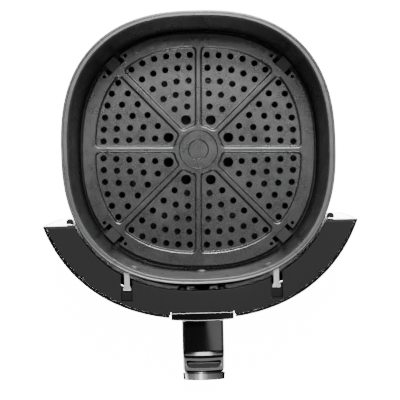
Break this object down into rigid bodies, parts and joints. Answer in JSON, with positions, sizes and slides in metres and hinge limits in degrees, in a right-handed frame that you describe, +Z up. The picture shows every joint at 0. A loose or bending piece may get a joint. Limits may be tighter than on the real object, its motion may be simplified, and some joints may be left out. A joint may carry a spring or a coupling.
{
  "type": "air fryer drawer",
  "caption": "Pulled-out air fryer drawer: round-cornered pan with a lift-out perforated crisper plate, crescent front cover and a bent handle with a bright trim.",
  "frame": {"origin": "centre of the pan's base, on the surface that it stands on", "axes": "+Z up, the handle points along -Y, +X to the right seen from the handle side"},
  "size_m": [0.284, 0.3417, 0.108],
  "materials": {
    "coated_steel": "non-stick coating, satin, fine grain",
    "plate_coating": "non-stick coating on cast metal, satin, fine grain",
    "silicone": "smooth matte silicone",
    "zinc_steel": "zinc-plated, semi-bright",
    "matte_plastic": "fine moulded grain, matte",
    "gloss_plastic": "high-gloss moulded black",
    "chrome": "bright chrome plate"
  },
  "bodies": {
    "drawer": {"pan": "coated_steel", "rivet_upper_left": "zinc_steel", "rivet_upper_right": "zinc_steel", "rivet_lower": "zinc_steel", "hook_bar_left": "zinc_steel", "hook_bar_right": "zinc_steel", "lower_tab": "zinc_steel", "handle_core": "zinc_steel", "cover_screw_1": "zinc_steel", "cover_screw_2": "zinc_steel", "cover_screw_3": "zinc_steel", "cover_screw_4": "zinc_steel", "handle_screw_1": "zinc_steel", "handle_screw_2": "zinc_steel", "handle_screw_3": "zinc_steel", "handle_screw_4": "zinc_steel", "grip_screw_1": "zinc_steel", "grip_screw_2": "zinc_steel", "cover_top": "matte_plastic", "front_liner": "matte_plastic", "front_bottom": "matte_plastic", "side_guide_left": "matte_plastic", "side_guide_right": "matte_plastic", "catch_block_left": "matte_plastic", "catch_block_right": "matte_plastic", "handle_mount": "matte_plastic", "handle_inner_shell": "matte_plastic", "thumb_pad": "matte_plastic", "front_shell": "gloss_plastic", "end_cap_left": "gloss_plastic", "end_cap_right": "gloss_plastic", "handle_root": "gloss_plastic", "handle_outer_shell": "gloss_plastic", "handle_trim": "chrome"},
    "crisper": {"crisper_plate": "plate_coating", "plate_bumper_1": "silicone", "plate_bumper_2": "silicone", "plate_bumper_3": "silicone", "plate_bumper_4": "silicone"}
  },
  "joints": [
    {"name": "plate_lift", "type": "slide", "parent": "drawer", "child": "crisper", "axis": [0, 0, 1], "range_m": [0, 0.12]}
  ]
}
